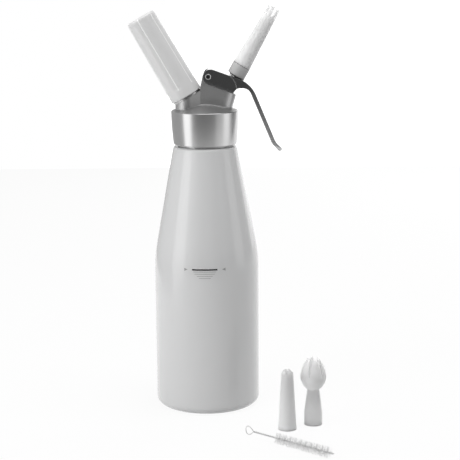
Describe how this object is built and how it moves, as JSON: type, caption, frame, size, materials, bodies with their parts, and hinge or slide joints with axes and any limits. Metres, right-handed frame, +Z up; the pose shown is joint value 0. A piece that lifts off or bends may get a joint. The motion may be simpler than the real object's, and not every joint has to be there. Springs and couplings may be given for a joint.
{
  "type": "whipped cream dispenser",
  "caption": "Cream whipper: a tapered bottle with a screw-on metal head, tilted gas charger holder, lever-worked valve and star nozzle, with spare nozzles and a brush.",
  "frame": {"origin": "middle of the bottle's flat base, on the surface it stands on", "axes": "+Z up the bottle, +X towards the nozzle and lever, -Y the front with the level mark"},
  "size_m": [0.1797, 0.2187, 0.3788],
  "materials": {
    "white_paint": "gloss white lacquer on aluminium",
    "brushed_head": "turned and brushed skirt, satin casting",
    "white_silicone": "soft silicone",
    "steel": "turned stainless steel",
    "black_rubber": "moulded rubber",
    "spring_steel": "drawn wire",
    "satin_aluminium": "matt anodised",
    "white_plastic": "semi-gloss, slightly translucent",
    "dark_lever": "dark satin metal",
    "charger_steel": "plated steel",
    "holder_plastic": "semi-gloss white",
    "bristle_nylon": "translucent nylon filaments"
  },
  "bodies": {
    "bottle": {"bottle": "white_paint"},
    "head": {"head_casting": "brushed_head", "head_gasket": "white_silicone", "valve_bonnet": "steel", "pivot_barrel": "steel", "pivot_screw": "steel", "inlet_port": "steel", "inlet_nut": "steel", "inlet_gasket": "black_rubber", "piercing_pin": "steel", "valve_spring": "spring_steel", "check_valve_spring": "spring_steel"},
    "lever": {"lever": "dark_lever"},
    "valve": {"valve_spindle": "steel", "spindle_o_ring": "black_rubber", "valve_seal": "black_rubber", "nozzle_adapter": "satin_aluminium", "adapter_ring": "black_rubber"},
    "fitted_nozzle": {"star_nozzle": "white_plastic"},
    "check_valve": {"check_valve": "black_rubber"},
    "charger_holder": {"charger_holder": "holder_plastic", "gas_charger": "charger_steel"},
    "straight_nozzle": {"straight_nozzle": "white_plastic"},
    "tulip_nozzle": {"tulip_nozzle": "white_plastic"},
    "brush": {"brush_wire": "spring_steel", "brush_bristles": "bristle_nylon"}
  },
  "joints": [
    {"name": "head_off", "type": "slide", "parent": "bottle", "child": "head", "axis": [0, 0, 1], "range_m": [0, 0.06]},
    {"name": "lever_press", "type": "hinge", "parent": "head", "child": "lever", "pos_m": [0.00352, 0, 0.3135], "axis": [0, 1, 0], "range_deg": [0, 10], "stiffness_Nm_per_rad": 1.5, "springref_deg": -8.59},
    {"name": "valve_stroke", "type": "slide", "parent": "head", "child": "valve", "axis": [-0.5, 0, -0.866], "range_m": [0, 0.0039], "deforming": ["valve_spring"]},
    {"name": "star_nozzle_off", "type": "slide", "parent": "valve", "child": "fitted_nozzle", "axis": [0.5, 0, 0.866], "range_m": [0, 0.07]},
    {"name": "charger_holder_off", "type": "slide", "parent": "head", "child": "charger_holder", "axis": [-0.5, 0, 0.866], "range_m": [0, 0.09]},
    {"name": "check_valve_lift", "type": "slide", "parent": "head", "child": "check_valve", "axis": [0.5, 0, -0.866], "range_m": [0, 0.0012], "stiffness_N_per_m": 150, "springref_m": -0.001, "deforming": ["check_valve_spring"]},
    {"name": "straight_nozzle_lift", "type": "slide", "parent": "bottle", "child": "straight_nozzle", "axis": [0, 0, 1], "range_m": [0, 0.05]},
    {"name": "tulip_nozzle_lift", "type": "slide", "parent": "bottle", "child": "tulip_nozzle", "axis": [0, 0, 1], "range_m": [0, 0.05]},
    {"name": "brush_lift", "type": "slide", "parent": "bottle", "child": "brush", "axis": [0, 0, 1], "range_m": [0, 0.05]}
  ],
  "couplings": [
    {"joint": "valve_stroke", "follows": "lever_press", "m_per_rad": 0.0222}
  ]
}
